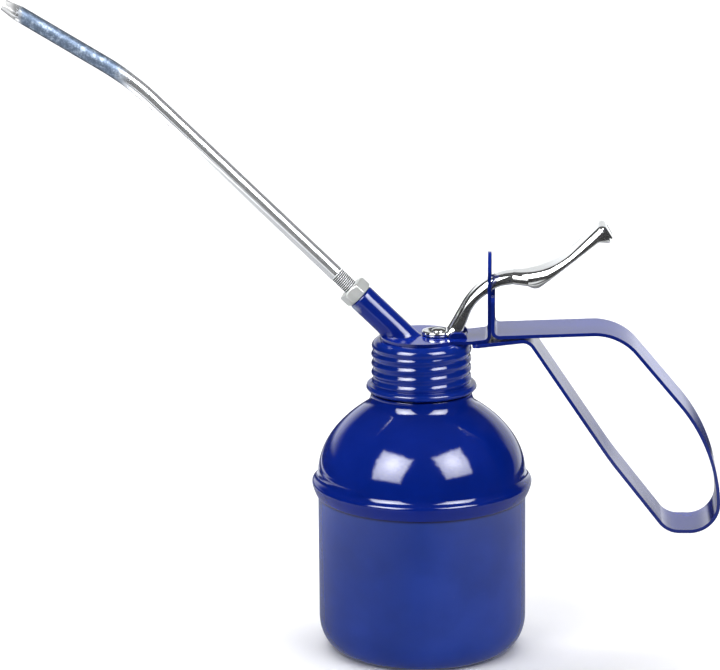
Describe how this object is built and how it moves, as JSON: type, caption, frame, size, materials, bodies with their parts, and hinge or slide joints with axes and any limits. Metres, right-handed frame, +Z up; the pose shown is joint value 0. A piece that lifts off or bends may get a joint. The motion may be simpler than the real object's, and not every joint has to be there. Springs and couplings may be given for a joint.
{
  "type": "thumb-lever pump oiler",
  "caption": "Pump oil can: domed sheet-steel body with a threaded cap that carries a long bent spout, a thumb lever working a plunger pump, and a looped strap handle.",
  "frame": {"origin": "middle of the can's standing ring, on the surface it stands on", "axes": "+Z up along the can's axis, +X towards the handle, -X towards the spout"},
  "size_m": [0.2889, 0.09, 0.2687],
  "materials": {
    "cup_paint": "satin blue enamel on pressed steel, lightly scuffed",
    "dome_paint": "gloss blue enamel on pressed steel",
    "cap_paint": "gloss blue enamel on pressed steel",
    "bracket_paint": "gloss blue enamel on steel strap, with weld marks and small chips",
    "lever_chrome": "bright plated pressed steel",
    "spout_nickel": "bright plated drawn steel tube",
    "nut_zinc": "zinc plated turned steel",
    "pump_brass": "machined brass",
    "inner_steel": "bright steel",
    "seal_rubber": "oil resistant rubber",
    "dip_plastic": "natural plastic tube"
  },
  "bodies": {
    "can": {"can_cup": "cup_paint", "can_dome": "dome_paint", "neck_ring": "dome_paint"},
    "gasket": {"cap_gasket": "seal_rubber"},
    "cap": {"screw_cap": "cap_paint", "top_plate": "bracket_paint", "handle_strap": "bracket_paint", "fulcrum_block": "bracket_paint", "spout_socket": "bracket_paint", "pump_head": "pump_brass", "delivery_elbow": "pump_brass", "rod_packing": "seal_rubber", "pump_barrel": "pump_brass", "foot_valve_body": "pump_brass", "foot_valve_washer": "pump_brass", "suction_tube": "dip_plastic", "strainer": "pump_brass", "return_spring": "inner_steel"},
    "lever": {"lever": "lever_chrome"},
    "plunger": {"piston_rod": "inner_steel", "piston": "pump_brass", "piston_seal": "seal_rubber", "piston_valve_seat": "pump_brass"},
    "piston_check": {"piston_ball": "inner_steel"},
    "foot_check": {"foot_ball": "inner_steel"},
    "spout": {"spout_tube": "spout_nickel"},
    "nut": {"lock_nut": "nut_zinc"}
  },
  "joints": [
    {"name": "cap_lift", "type": "slide", "parent": "can", "child": "gasket", "axis": [0, 0, 1], "range_m": [0, 0.00765]},
    {"name": "cap_turn", "type": "hinge", "parent": "gasket", "child": "cap", "pos_m": [0, 0, 0.1202], "axis": [0, 0, 1], "range_deg": [0, 720]},
    {"name": "lever_press", "type": "hinge", "parent": "cap", "child": "lever", "pos_m": [0.016, 0, 0.1336], "axis": [0, 1, 0], "range_deg": [0, 17], "stiffness_Nm_per_rad": 0.2, "springref_deg": -17.19},
    {"name": "plunger_lift", "type": "slide", "parent": "cap", "child": "plunger", "axis": [0, 0, 1], "range_m": [0, 0.0034], "deforming": ["return_spring"]},
    {"name": "piston_ball_lift", "type": "slide", "parent": "plunger", "child": "piston_check", "axis": [0, 0, 1], "range_m": [0, 0.0009]},
    {"name": "foot_ball_lift", "type": "slide", "parent": "cap", "child": "foot_check", "axis": [0, 0, 1], "range_m": [0, 0.0014]},
    {"name": "spout_turn", "type": "hinge", "parent": "cap", "child": "spout", "pos_m": [-0.00687, 0, 0.1302], "axis": [-0.7157, 0, 0.6984], "range_deg": [-180, 180]},
    {"name": "nut_turn", "type": "hinge", "parent": "spout", "child": "nut", "pos_m": [-0.02662, 0, 0.14948], "axis": [-0.7157, 0, 0.6984], "continuous": true}
  ],
  "couplings": [
    {"joint": "cap_turn", "follows": "cap_lift", "rad_per_m": 1640.5},
    {"joint": "plunger_lift", "follows": "lever_press", "m_per_rad": 0.0112}
  ]
}
